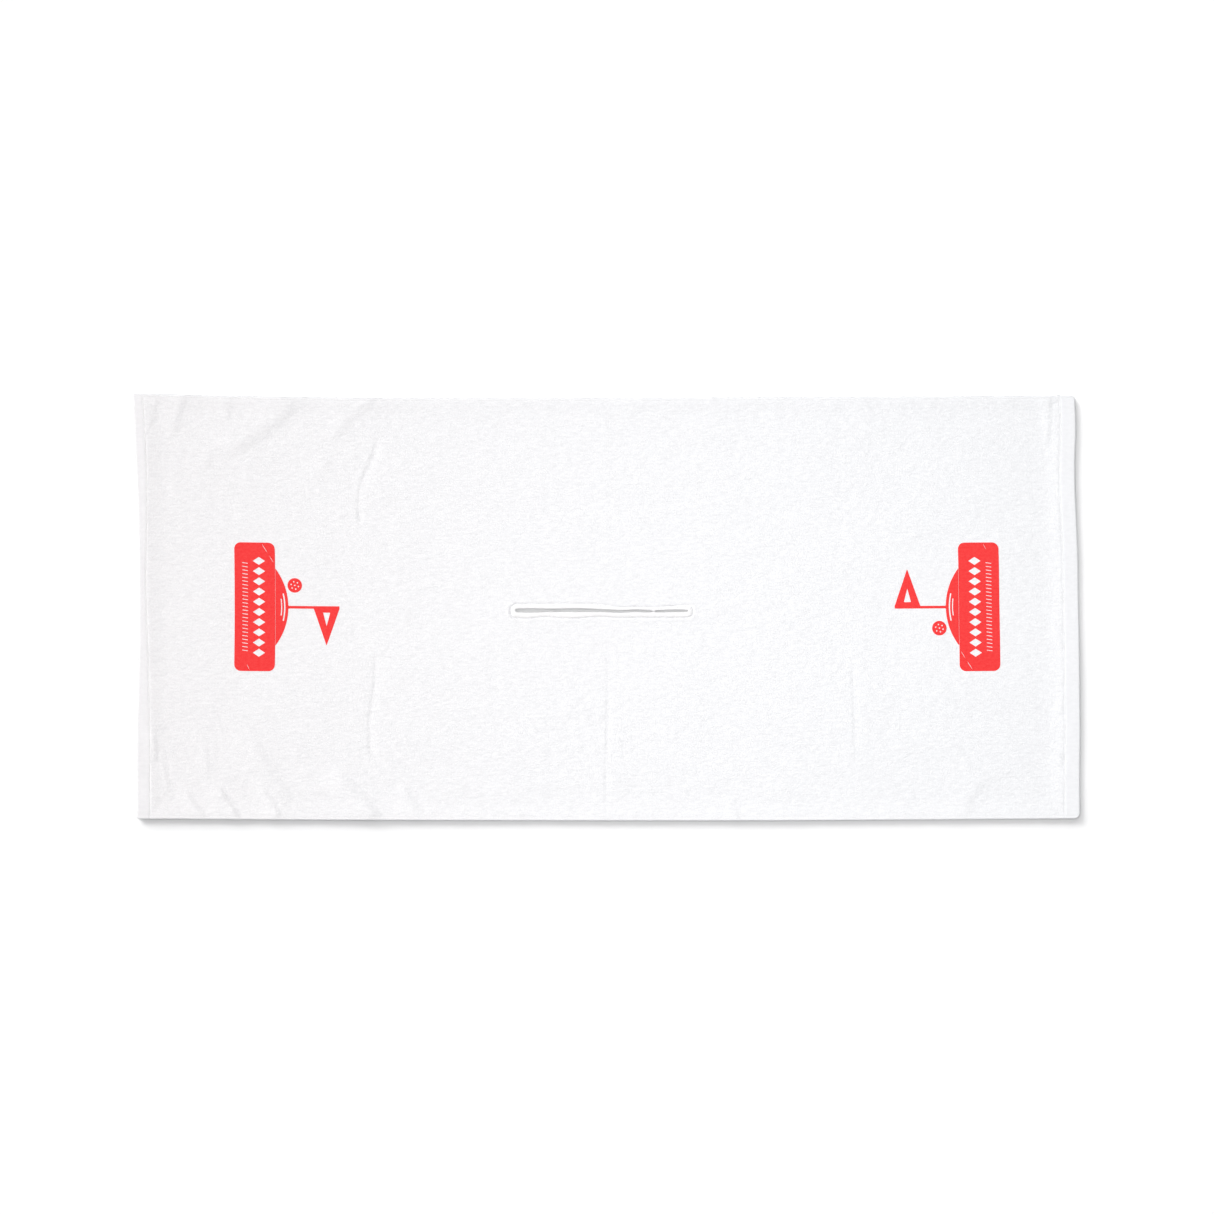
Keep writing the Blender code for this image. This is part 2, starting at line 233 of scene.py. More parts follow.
def bell(x, reach):
    return np.exp(-((x / reach) ** 2))


def rounded(x, turn):
    """0 to 1 over a quarter circle, as x goes from 0 to turn."""
    return np.sqrt(np.clip(1 - (1 - np.clip(x / turn, 0, 1)) ** 2, 0.0004, 1))


def smooth_through(rows, x):
    """The value at x of a smooth line through rows of (place in mm, value), level beyond its ends."""
    knots, values = np.array(rows, float).T
    knots = knots * MM
    slopes = np.gradient(values, knots)
    x = np.clip(x, knots[0], knots[-1])
    i = np.clip(np.searchsorted(knots, x, side="right") - 1, 0, len(knots) - 2)
    step = knots[i + 1] - knots[i]
    f = (x - knots[i]) / step
    start = (1 + 2 * f) * (1 - f) ** 2 * values[i] + f * (1 - f) ** 2 * step * slopes[i]
    return start + f * f * (3 - 2 * f) * values[i + 1] + f * f * (f - 1) * step * slopes[i + 1]


def value_noise(u, v, cell_u, cell_v, seed):
    """Smooth random heights from -1 to 1, on cells of the given size."""
    size = 512
    table = np.random.default_rng(seed).uniform(-1.0, 1.0, (size, size))
    u, v = u / cell_u, v / cell_v
    i, j = np.floor(u).astype(int), np.floor(v).astype(int)
    fu, fv = ease(u - i), ease(v - j)
    near = table[i % size, j % size] * (1 - fu) + table[(i + 1) % size, j % size] * fu
    far = table[i % size, (j + 1) % size] * (1 - fu) + table[(i + 1) % size, (j + 1) % size] * fu
    return near * (1 - fv) + far * fv


def from_polyline(u, v, points):
    """How far each place is to the left of a line drawn from the back to the front, below zero to its right,
    and how far along that line its nearest point is, 0 to 1. The line's points are in mm."""
    points = np.array(points, float) * MM
    lengths = np.linalg.norm(np.diff(points, axis=0), axis=1)
    starts = np.concatenate([[0.0], np.cumsum(lengths)])
    best, share = np.full(u.shape, np.inf), np.zeros(u.shape)
    for k, length in enumerate(lengths):
        step = points[k + 1] - points[k]
        du, dv = u - points[k, 0], v - points[k, 1]
        f = np.clip((du * step[0] + dv * step[1]) / length**2, 0, 1)
        side = np.where(step[0] * dv - step[1] * du > 0, -1.0, 1.0)
        gap = np.hypot(du - f * step[0], dv - f * step[1]) * side
        nearer = np.abs(gap) < np.abs(best)
        best = np.where(nearer, gap, best)
        share = np.where(nearer, (starts[k] + f * length) / starts[-1], share)
    return best, share


def inside(u, v, outline):
    """Whether each place is within a closed outline."""
    found = np.zeros(np.shape(u), bool)
    for (u0, v0), (u1, v1) in zip(outline, np.roll(outline, -1, axis=0)):
        crosses = (v0 > v) != (v1 > v)
        rise = v1 - v0 if v1 != v0 else 1e-12
        found ^= crosses & (u < (u1 - u0) * (v - v0) / rise + u0)
    return found


def resample(points, step, closed=False):
    """Points at equal steps, about as long as asked, along a line."""
    points = np.array(points, float)
    if closed:
        points = np.vstack([points, points[:1]])
    far = np.concatenate([[0.0], np.cumsum(np.linalg.norm(np.diff(points, axis=0), axis=1))])
    count = max(2, round(far[-1] / step)) + (0 if closed else 1)
    at = np.linspace(0, far[-1], count, endpoint=not closed)
    return np.stack([np.interp(at, far, points[:, k]) for k in (0, 1)], axis=1)


def grow(loop, distance):
    """A closed anticlockwise line moved outwards."""
    step = np.roll(loop, -1, axis=0) - np.roll(loop, 1, axis=0)
    outward = np.stack([step[:, 1], -step[:, 0]], axis=1)
    return loop + distance * outward / np.linalg.norm(outward, axis=1, keepdims=True)


def triangulate(places, first, loops, wanted):
    """Triangles over places, as their numbers, whose middles are wanted and which cross no loop. The loops'
    own places come one after another from the first on."""
    edges = []
    for loop in loops:
        edges += [(first + k, first + (k + 1) % len(loop)) for k in range(len(loop))]
        first += len(loop)
    _, _, triangles, origin, _, _ = delaunay_2d_cdt([Vector(p) for p in places], edges, [], 0, 1e-7)
    triangles = [tuple(origin[k][0] for k in t) for t in triangles]
    middles = np.array([places[list(t)].mean(0) for t in triangles])
    return [t for t, keep in zip(triangles, wanted(*middles.T)) if keep]


# ======== where the cloth lies
def lay_shift(u, v):
    """How far a pattern place lies from its place on a square towel."""
    rightward, backward = (u - LEFT) / (RIGHT - LEFT), (v - FRONT) / (BACK - FRONT)
    dx = (1 - rightward) * smooth_through(LEFT_EDGE, v) + rightward * smooth_through(RIGHT_EDGE, v)
    dy = (1 - backward) * smooth_through(FRONT_EDGE, u) + backward * smooth_through(BACK_EDGE, u)
    drift_start = ease((u - LEFT) / (LEFT_HEM - SEAM_INSET))
    drift_end = ease((LEFT + LEFT_SEAM_FADE - u) / (LEFT_SEAM_FADE - LEFT_HEM))
    dx = dx + smooth_through(LEFT_SEAM, v) * drift_start * drift_end
    return dx * MM, dy * MM


def lay_out(u, v, height):
    """Pattern places and heights as points in the row frame."""
    u, v = np.asarray(u, float), np.asarray(v, float)
    dx, dy = lay_shift(u, v)
    x, y = u + dx, v + dy
    for end, side, radius in CORNERS:
        radius = radius * MM
        from_end = (LEFT + radius - u if end < 0 else u - RIGHT + radius) / radius
        from_side = (FRONT + radius - v if side < 0 else v - BACK + radius) / radius
        a, b = np.clip(from_end, 0, 1), np.clip(from_side, 0, 1)
        x = x + end * radius * a * (np.sqrt(1 - b * b / 2) - 1)
        y = y + side * radius * b * (np.sqrt(1 - a * a / 2) - 1)
    return np.stack([x, y, np.broadcast_to(height, x.shape)], axis=-1)


def on_pattern(x, y):
    """The pattern place that lies at x, y, away from the corners."""
    dx, dy = lay_shift(np.array(x), np.array(y))
    return x - float(dx), y - float(dy)


# ======== slit outlines, on the pattern
SLIT_MIDDLE = on_pattern((BAND_LOW.x + BAND_HIGH.x) / 2, (BAND_LOW.y + BAND_HIGH.y) / 2)


def slit_loop(edges, end, power):
    """A closed anticlockwise line: long sides by a table, and rounded ends."""
    along = np.linspace(-BAND_SIDE, BAND_SIDE, round(2 * BAND_SIDE / LOOP_STEP))
    back, front = (smooth_through([(row[0], row[k]) for row in edges], along) * MM for k in (1, 2))
    turn = np.linspace(-math.pi / 2, math.pi / 2, 19)[1:-1]
    loop = list(zip(along, front))
    for sign, low, high in ((1, front[-1], back[-1]), (-1, back[0], front[0])):
        middle, half = (low + high) / 2, (high - low) / 2
        reach = end - BAND_SIDE - (LEFT_SHORT if sign < 0 else 0.0)
        for angle in turn:
            out = abs(math.cos(angle)) ** (2 / power)
            up = math.copysign(abs(math.sin(angle)) ** (2 / power), angle)
            loop.append((sign * (BAND_SIDE + reach * out), middle + half * up))
        if sign > 0:
            loop += list(zip(along[::-1], back[::-1]))
    return np.array(loop) + SLIT_MIDDLE


SLIT_LOOP = slit_loop(SLIT_EDGES, SLIT_END, SLIT_POWER)
BAND_LOOP = slit_loop(BAND_EDGES, BAND_END, BAND_POWER)


def near_band(u, v, margin):
    """Which columns and which rows, or which places, are in the band's own box with a margin round it."""
    low, high = BAND_LOOP.min(0) - margin, BAND_LOOP.max(0) + margin
    return (u > low[0]) & (u < high[0]), (v > low[1]) & (v < high[1])


def band_distance(u, v):
    """How far each place is outside the band's outline: 0 within it, and 1 m for all places far from it."""
    found = np.full(u.shape, 1.0)
    near = np.logical_and(*near_band(u, v, 15 * MM))
    if near.any():
        a, b = u[near], v[near]
        gap = np.full(a.shape, np.inf)
        for chunk in np.array_split(resample(BAND_LOOP, 0.8 * MM, closed=True), 8):
            apart = np.hypot(a[:, None] - chunk[None, :, 0], b[:, None] - chunk[None, :, 1])
            gap = np.minimum(gap, apart.min(1))
        found[near] = np.where(inside(a, b, BAND_LOOP), 0.0, gap)
    return found


# ======== print places, on the pattern
class Print:
    """Where one end's print lies. Its own axes are p, along the bar, and q, in from the bar's outer side."""

    def __init__(self, end):
        low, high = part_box("print_bar_" + end)
        self.end = end
        self.inward = 1 if end == "left" else -1
        self.long, self.wide = high.y - low.y, high.x - low.x
        flag_low, flag_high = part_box("print_flag_" + end)
        self.reach = abs(flag_high.x - low.x if end == "left" else flag_low.x - high.x)
        centre = on_pattern((low.x + high.x) / 2, (low.y + high.y) / 2 + PRINT_SHIFT)
        self.outer = centre[0] - self.inward * self.wide / 2
        self.middle = centre[1]

    def place(self, p, q):
        """Pattern places of points on the print."""
        return self.outer + self.inward * np.asarray(q), self.middle - self.inward * np.asarray(p)

    def own(self, u, v):
        """Pattern places on the print's own axes."""
        return (self.middle - v) * self.inward, (u - self.outer) * self.inward


PRINTS = {end: Print(end) for end in ("left", "right")}


def print_calm(u, v):
    """1 where ink presses the pile flat and 0 away from it."""
    calm = np.zeros(u.shape)
    for item in PRINTS.values():
        p, q = item.own(u, v)
        bar = np.maximum(np.abs(p) - item.long / 2, np.maximum(-q, q - item.wide))
        emblem = np.maximum(np.abs(p) - 0.3 * item.long, np.maximum(item.wide - q, q - item.reach))
        calm = np.maximum(calm, 1 - ease(np.minimum(bar, emblem) / CALM_ROUND_PRINT))
    return calm


# ======== heights
def hem_edges(u, v):
    """For each hem: (distance in from its edge, how far in its fold is round, distance past its inner edge,
    place along it, how far its stitches pull the cloth down)."""
    return (
        (u - LEFT, END_TURN, u - CLOTH_LEFT, v, END_SEAM_DEPTH),
        (RIGHT - u, END_TURN, CLOTH_RIGHT - u, v, END_SEAM_DEPTH),
        (v - FRONT, SIDE_TURN, v - CLOTH_FRONT, u, SIDE_SEAM_DEPTH),
        (BACK - v, SIDE_TURN, CLOTH_BACK - v, u, SIDE_SEAM_DEPTH),
    )


def sheet_lift(u, v):
    """How far the cloth stands off the table: slow waves and soft folds."""
    lift = 0.60 * MM * (0.5 + 0.5 * value_noise(u, v, 0.110, 0.085, 11))
    lift = lift + 0.26 * MM * (1 + value_noise(u, v, 0.042, 0.026, 12))
    flatter = 0.5 + 0.5 * ease(np.minimum(v - FRONT, RIGHT - u) / EDGE_FLAT_REACH)
    for line, height, fall, reach in FALLS:
        gap, share = from_polyline(u, v, line)
        taper = ease(np.minimum(share, 1 - share) / 0.30)
        raised = ease((gap / MM + fall) / (2 * fall)) * bell(np.maximum(gap / MM, 0), reach)
        lift = lift + height * MM * raised * taper * flatter
    return lift


def fold_marks(u, v):
    """The thin marks where the towel was folded, which only its upper surface shows."""
    height = np.zeros(u.shape)
    for line, rise, reach in CREASES:
        gap, share = from_polyline(u, v, line)
        side = np.where(gap > 0, 1.15 * reach, 3.0 * reach)
        height = height + rise * MM * bell(gap / MM, side) * ease(np.minimum(share, 1 - share) / 0.15)
    return height * (0.75 + 0.25 * value_noise(u, v, 0.014, 0.012, 13))


def hem_raise(u, v):
    """How far the hems' extra layers stand up, above and beside them."""
    raised = np.zeros(u.shape)
    for _, _, past, *_ in hem_edges(u, v):
        line = past + SEAM_INSET
        beside = FLAP_LIFT * bell(np.maximum(line, 0), FLAP_REACH)
        raised = np.maximum(raised, np.where(line < 0, HEM_THICK - CLOTH_THICK, beside))
    return raised


def seam_pull(u, v):
    """How far the stitches of the hems pull the cloth in."""
    pull = np.zeros(u.shape)
    for k, (_, _, past, run, depth) in enumerate(hem_edges(u, v)):
        line = past + SEAM_INSET
        strength = depth * (0.9 + 0.2 * value_noise(run, line * 0, 0.007, 1.0, 21 + k))
        pull = np.maximum(pull, strength * bell(line, SEAM_REACH))
    return pull


def puckers(u, v):
    """Small ridges that run out from a seam at right angles to it."""
    height = np.zeros(u.shape)
    for k, (_, _, past, run, _) in enumerate(hem_edges(u, v)):
        line = past + SEAM_INSET
        ripples = value_noise(run, line, 0.0065, 0.030, 31 + k)
        ripples = ripples + 0.6 * value_noise(run, line, 0.017, 0.060, 41 + k)
        height = height + 0.20 * MM * ripples * np.exp(-np.abs(line) / (7 * MM))
    return height


def pile_relief(u, v):
    """The uneven pile: short tufts drawn out along the towel, and broader patches."""
    tufts = value_noise(u, v, 0.0056, 0.0030, 51)
    clumps = value_noise(u + 0.4 * v, v, 0.0110, 0.0065, 52)
    patches = value_noise(u, v, 0.034, 0.022, 53)
    return MM * (0.17 * tufts + 0.11 * clumps + 0.06 * patches)


def in_cloth(u, v):
    """0 on the hems and 1 on the cloth inside them."""
    share = np.ones(u.shape)
    for _, _, past, *_ in hem_edges(u, v):
        share = np.minimum(share, ease((past + 1.0 * MM) / (2.5 * MM)))
    return share


def towel_top(u, v):
    """Height of the upper surface, hems included, as if no hem had a round outer fold."""
    pile = pile_relief(u, v) * (0.25 + 0.75 * in_cloth(u, v)) * (1 - 0.6 * print_calm(u, v))
    gap = band_distance(u, v)
    groove = GROOVE_DEPTH * bell(gap, GROOVE_REACH) * (1 + 0.3 * value_noise(u, v, 0.006, 0.006, 61))
    ring = 0.35 * MM * bell(gap - 3.2 * MM, 2.2 * MM)
    top = sheet_lift(u, v) + CLOTH_THICK + hem_raise(u, v) + puckers(u, v) + fold_marks(u, v)
    return top + pile * (1 - 0.8 * bell(gap, 2 * GROOVE_REACH)) - seam_pull(u, v) - groove + ring


def hem_underside(u, v):
    rough = 0.10 * MM * (1 + value_noise(u, v, 0.0046, 0.0046, 71))
    return sheet_lift(u, v) + rough + UNDER_PULL * seam_pull(u, v)


def cloth_underside(u, v):
    """Height of the underside of the cloth inside the hems, whose flaps lift it."""
    lifted = np.zeros(u.shape)
    for _, _, past, *_ in hem_edges(u, v):
        lifted = np.maximum(lifted, FLAP_LIFT * bell(np.maximum(past, 0), FLAP_REACH))
    return hem_underside(u, v) + lifted + 0.7 * MM * bell(band_distance(u, v), GROOVE_REACH)


def hem_turn(u, v):
    """1 on a hem's flat, falling to 0 round its outer fold."""
    share = np.ones(u.shape)
    for distance, turn, *_ in hem_edges(u, v):
        share = share * rounded(distance, turn)
    return share


def surface_normals(height, u, v, up):
    """Normals of a height function, which are the same on both sides of a cut."""
    e = NORMAL_STEP
    slope_u = (height(u + e, v) - height(u - e, v)) / (2 * e)
    slope_v = (height(u, v + e) - height(u, v - e)) / (2 * e)
    normals = np.stack([-slope_u, -slope_v, np.ones(u.shape)], axis=-1)
    normals /= np.linalg.norm(normals, axis=-1, keepdims=True)
    return normals if up else -normals


# ======== meshes
def add_object(name, data):
    made = bpy.data.objects.new(name, data)
    bpy.context.scene.collection.objects.link(made)
    return made


def make_piece(name, points, faces, pattern, looks, slots=None, normals=None):
    """A mesh object. pattern is each vertex's place on the flat towel, which the looks' textures read."""
    mesh = bpy.data.meshes.new(name)
    mesh.from_pydata(np.asarray(points).tolist(), [], faces)
    if len(mesh.polygons) != len(faces):
        raise ValueError(f"{name}: a face was refused")
    for look in looks:
        mesh.materials.append(look)
    if slots is not None:
        mesh.polygons.foreach_set("material_index", np.asarray(slots, np.int32))
    attribute = mesh.attributes.new("pattern", "FLOAT_VECTOR", "POINT")
    flat = np.zeros((len(points), 3), np.float32)
    flat[:, : np.shape(pattern)[1]] = pattern
    attribute.data.foreach_set("vector", flat.ravel())
    mesh.shade_smooth()
    if normals is not None:
        mesh.normals_split_custom_set(normals)
    return add_object(name, mesh)


def stations(start, stretches):
    """Grid lines from start on. Each stretch is (where it ends, longest step)."""
    found = [start]
    for end, step in stretches:
        count = max(1, math.ceil((end - found[-1]) / step - 1e-6))
        found += list(found[-1] + (end - found[-1]) * np.arange(1, count + 1) / count)
    return found


def grid_lines(low, high, turn, stretches):
    """All the grid lines one way, closer round the outer folds of the two hems."""
    round_fold = turn * (1 - np.cos(np.linspace(0, math.pi / 2, TURN_STEPS + 1)[:-1]))
    return np.array([*(low + round_fold), *stations(low + turn, stretches), *(high - round_fold[::-1])])


# The steps are finest at the hems' seams, and fine over the folds
U_LINES = grid_lines(LEFT, RIGHT, END_TURN, (
    (CLOTH_LEFT - 4.2 * MM, HEM_STEP),
    (CLOTH_LEFT, SEAM_STEP),
    (CLOTH_LEFT + 2.4 * MM, SEAM_STEP),
    (CLOTH_LEFT + 6 * MM, FOLD_STEP),
    (FOLD_LEFT - 21 * MM, STEP),
    (FOLD_LEFT, FOLD_STEP),
    (FOLD_LEFT + 18 * MM, FOLD_STEP),
    (CUT_LEFT, STEP),
    (-10 * MM, STEP),
    (0.0, FOLD_STEP),
    (10 * MM, FOLD_STEP),
    (CUT_RIGHT, STEP),
    (FOLD_RIGHT - 10 * MM, STEP),
    (FOLD_RIGHT, FOLD_STEP),
    (FOLD_RIGHT + 19 * MM, FOLD_STEP),
    (CLOTH_RIGHT - 6 * MM, STEP),
    (CLOTH_RIGHT - 2.4 * MM, FOLD_STEP),
    (CLOTH_RIGHT, SEAM_STEP),
    (CLOTH_RIGHT + 4.2 * MM, SEAM_STEP),
    (RIGHT - END_TURN, HEM_STEP),
))
V_LINES = grid_lines(FRONT, BACK, SIDE_TURN, (
    (CLOTH_FRONT, SIDE_STEP),
    (CLOTH_FRONT + 2.4 * MM, SEAM_STEP),
    (CLOTH_FRONT + 6 * MM, FOLD_STEP),
    (CLOTH_BACK - 6 * MM, STEP),
    (CLOTH_BACK - 2.4 * MM, FOLD_STEP),
    (CLOTH_BACK, SEAM_STEP),
    (BACK - SIDE_TURN, SIDE_STEP),
))


def lines_between(lines, low, high):
    return lines[(lines > low - 1e-7) & (lines < high + 1e-7)]


def slit_patch(lines_u, lines_v):
    """The stretch of cloth round the slit, whose triangles follow the band's outline.

    Returns the grid's columns and rows that it spans, its own new places, its triangles, and how many of the
    new places, the first ones, go round the hole. In a triangle, a vertex of the grid is a (column, row) pair
    and a new one is its number.
    """
    columns, rows = (np.flatnonzero(near) for near in near_band(lines_u, lines_v, PATCH_MARGIN))
    i, j = (g.ravel() for g in np.meshgrid(columns, rows, indexing="ij"))
    rim = (i == columns[0]) | (i == columns[-1]) | (j == rows[0]) | (j == rows[-1])
    old = np.stack([lines_u[i], lines_v[j]], 1)
    kept = rim | (band_distance(old[:, 0], old[:, 1]) > PATCH_CLEAR)
    hole = resample(grow(BAND_LOOP, -BAND_OVERLAP), HOLE_EDGE_STEP, closed=True)
    rings = [resample(grow(BAND_LOOP, far * MM), step * MM, closed=True) for far, step in PATCH_RINGS]
    new = np.vstack([hole, *rings])
    names = list(zip(i[kept].tolist(), j[kept].tolist())) + list(range(len(new)))
    places = np.vstack([old[kept], new])
    triangles = triangulate(places, int(kept.sum()), [hole], lambda a, b: ~inside(a, b, hole))
    return (columns, rows), new, [tuple(names[k] for k in t) for t in triangles], len(hole)


def block_surface(lines_u, lines_v, around_slit):
    """A block's pattern places, its faces over them, and the lines of vertices round its rim and its hole."""
    columns, rows = len(lines_u), len(lines_v)
    u, v = (g.ravel() for g in np.meshgrid(lines_u, lines_v, indexing="ij"))
    rim = [i * rows for i in range(columns)] + [(columns - 1) * rows + j for j in range(1, rows)]
    rim += [i * rows + rows - 1 for i in range(columns - 2, -1, -1)] + list(range(rows - 2, 0, -1))
    loops, skipped, patch = [rim], set(), []
    if around_slit:
        base = len(u)
        (cut_columns, cut_rows), new, triangles, hole_count = slit_patch(lines_u, lines_v)
        skipped = {(i, j) for i in cut_columns[:-1] for j in cut_rows[:-1]}
        u, v = np.concatenate([u, new[:, 0]]), np.concatenate([v, new[:, 1]])
        for triangle in triangles:
            patch.append(tuple(k[0] * rows + k[1] if isinstance(k, tuple) else base + k for k in triangle))
        loops.append([base + k for k in reversed(range(hole_count))])
    quads = [
        (i * rows + j, (i + 1) * rows + j, (i + 1) * rows + j + 1, i * rows + j + 1)
        for i in range(columns - 1)
        for j in range(rows - 1)
        if (i, j) not in skipped
    ]
    return u, v, quads + patch, loops


def block_normals(u, v, points, faces, first_wall):
    """A normal for each corner of each face: smooth ones that match across a cut, and flat ones on walls."""
    above, below = surface_normals(towel_top, u, v, True), surface_normals(cloth_underside, u, v, False)
    both = np.concatenate([above, below])
    normals = [normal for face in faces[:first_wall] for normal in both[list(face)].tolist()]
    for face in faces[first_wall:]:
        corner = points[list(face[:3])]
        flat = np.cross(corner[1] - corner[0], corner[2] - corner[1])
        flat /= max(np.linalg.norm(flat), 1e-12)
        normals += [flat.tolist()] * len(face)
    return normals


def sharpen_walls(piece, first_wall):
    """Keeps a hem's hidden walls from rounding off its shading."""
    mesh = piece.data
    keys = set()
    for polygon in mesh.polygons[first_wall:]:
        heights = [mesh.vertices[k].co.z for k in polygon.vertices]
        if max(heights) - min(heights) > 1.5 * MM:
            keys |= set(polygon.edge_keys)
    sharpen(mesh, keys)


def sharpen(mesh, keys):
    for edge in mesh.edges:
        if edge.key in keys:
            edge.use_edge_sharp = True


def cloth_block(name, ends, sides, hem, looks, around_slit=False):
    """A closed piece of the towel between grid lines: upper surface, underside and walls between them."""
    lines_u, lines_v = lines_between(U_LINES, *ends), lines_between(V_LINES, *sides)
    u, v, upper, loops = block_surface(lines_u, lines_v, around_slit)
    count, first_wall = len(u), 2 * len(upper)
    top, low = towel_top(u, v), hem_underside(u, v) if hem else cloth_underside(u, v)
    if hem:
        turn, middle = hem_turn(u, v), TURN_MIDDLE + sheet_lift(u, v)
        top, low = middle + (top - middle) * turn, middle - (middle - low) * turn
    faces = upper + [tuple(k + count for k in reversed(face)) for face in upper]
    for loop in loops:
        faces += [(i, i + count, j + count, j) for i, j in zip(loop, loop[1:] + loop[:1])]
    used = np.zeros(count, bool)
    used[[k for face in upper for k in face]] = True
    renumber = np.cumsum(np.concatenate([used, used])) - 1
    faces = [tuple(int(renumber[k]) for k in face) for face in faces]
    points = np.concatenate([lay_out(u, v, top)[used], lay_out(u, v, low)[used]])
    u, v = u[used], v[used]
    pattern = np.tile(np.stack([u, v], 1), (2, 1))
    under_slot = len(looks) - 1
    slots = [0] * len(upper) + [under_slot] * len(upper) + [0] * (len(faces) - first_wall)
    normals = None if hem else block_normals(u, v, points, faces, first_wall)
    piece = make_piece(name, points, faces, pattern, looks, slots, normals)
    if hem:
        sharpen_walls(piece, first_wall)
    return piece


def tube_faces(rings, around, first=0, closed=False):
    """Faces between each ring of vertices and the next."""
    faces = []
    for ring in range(rings if closed else rings - 1):
        here, there = first + ring * around, first + (ring + 1) % rings * around
        for k in range(around):
            m = (k + 1) % around
            faces.append((here + k, here + m, there + m, there + k))
    return faces


# ======== materials
def add_node(tree, kind, inputs=None, **settings):
    """A shader node. An input is a value, or an output socket to link it to."""
    node = tree.nodes.new("ShaderNode" + kind)
    for key, value in settings.items():
        setattr(node, key, value)
    for key, value in (inputs or {}).items():
        if isinstance(value, bpy.types.NodeSocket):
            tree.links.new(value, node.inputs[key])
        else:
            node.inputs[key].default_value = value
    return node


def new_material(name, sockets):
    """A material and its Principled shader."""
    material = bpy.data.materials.new(name)
    material.use_nodes = True
    shader = next(node for node in material.node_tree.nodes if node.type == "BSDF_PRINCIPLED")
    for socket, value in sockets.items():
        shader.inputs[socket].default_value = value
    return material, shader


class Look:
    """A material whose textures read the pattern place, with short ways to add their nodes."""

    def __init__(self, name, sheen, sheen_roughness, specular):
        sockets = {"Sheen Weight": sheen, "Sheen Roughness": sheen_roughness, "Specular IOR Level": specular}
        self.material, self.shader = new_material(name, sockets)
        self.tree = self.material.node_tree
        self.place = self.node("Attribute", "Vector", attribute_name="pattern", attribute_type="GEOMETRY")

    def node(self, kind, output, inputs=None, **settings):
        return add_node(self.tree, kind, inputs, **settings).outputs[output]

    def scaled(self, place, scale, turn=0.0):
        """The place in repeats of a texture, so many to the metre each way."""
        inputs = {"Vector": place, "Scale": (*scale, 1), "Rotation": (0, 0, turn)}
        return self.node("Mapping", "Vector", inputs)

    def noise(self, place, scale, detail=2.0, roughness=0.5):
        inputs = {"Vector": self.scaled(place, scale), "Scale": 1.0, "Detail": detail, "Roughness": roughness}
        return self.node("TexNoise", "Fac", inputs)

    def wave(self, vector, direction, distortion, **extra):
        """Bands about one unit wide, 0 to 1."""
        inputs = {"Vector": vector, "Scale": 0.32, "Distortion": distortion, **extra}
        return self.node("TexWave", "Fac", inputs, bands_direction=direction)

    def spread(self, value, low, high, to_low=0.0, to_high=1.0):
        """A value read between low and high, moved to another range."""
        inputs = {"Value": value, "From Min": low, "From Max": high, "To Min": to_low, "To Max": to_high}
        return self.node("MapRange", "Result", inputs, clamp=True)

    def add(self, a, b):
        return self.node("Math", "Value", {0: a, 1: b}, operation="ADD")

    def times(self, a, b):
        return self.node("Math", "Value", {0: a, 1: b}, operation="MULTIPLY")

    def mix(self, share, a, b):
        """A colour between two colours, given with three numbers each or as an output."""
        a, b = ((*c, 1) if isinstance(c, tuple) else c for c in (a, b))
        return self.node("Mix", 2, {0: share, 6: a, 7: b}, data_type="RGBA")

    def wander(self, place):
        """The place with small sideways shifts, which keep a pattern from looking ruled."""
        noise = self.node("TexNoise", "Color", {"Vector": place, "Scale": 260.0, "Detail": 1.0})
        centred = self.node("VectorMath", 0, {0: noise, 1: (0.5, 0.5, 0.5)}, operation="SUBTRACT")
        shift = self.node("VectorMath", 0, {0: centred, "Scale": 2.4 * MM}, operation="SCALE")
        return self.node("VectorMath", 0, {0: place, 1: shift}, operation="ADD")

    def finish(self, colour, roughness, height, strength, depth):
        normal = self.node("Bump", "Normal", {"Height": height, "Strength": strength, "Distance": depth})
        for socket, value in (("Base Color", colour), ("Roughness", roughness), ("Normal", normal)):
            self.tree.links.new(value, self.shader.inputs[socket])
        return self.material


def terry_look(name, dark, light, loop, depth, gap_shade):
    """Pile of small cotton loops: tufts drawn out along the towel, over cells of single loops, with painted
    shade that darkens the colour in the gaps between loops. A loop's length and width are in mm."""
    look = Look(name, 0.18, 0.45, 0.25)
    streaks = look.noise(look.place, (105, 380), detail=3.0, roughness=0.6)
    patches = look.noise(look.place, (34, 60))
    swirl = look.wander(look.place)
    per_metre = (1 / (loop[0] * MM), 1 / (loop[1] * MM))
    inputs = {"Vector": look.scaled(swirl, per_metre), "Scale": 1.0, "Randomness": 0.85}
    cells = look.node("TexVoronoi", "Distance", inputs, feature="F1")
    fibres = look.noise(swirl, (1500, 2600))
    tone = look.add(look.spread(streaks, 0.34, 0.66, 0.0, 0.87), look.spread(patches, 0.35, 0.65, 0.0, 0.13))
    # painted shade: the colour darkens toward grey at the edges of each loop's cell, in the gaps between
    # loops; gap_shade sets how far
    painted_gap_shade = look.spread(cells, 0.30, 0.80, 0.0, gap_shade)
    colour = look.mix(painted_gap_shade, look.mix(tone, dark, light), (0.60, 0.60, 0.62))
    height = look.add(look.spread(cells, 0.0, 0.8, 1.0, 0.0), look.times(streaks, 0.8))
    height = look.add(height, look.times(fibres, 0.35))
    return look.finish(colour, look.spread(streaks, 0.3, 0.7, 1.0, 0.90), height, 0.6, depth)


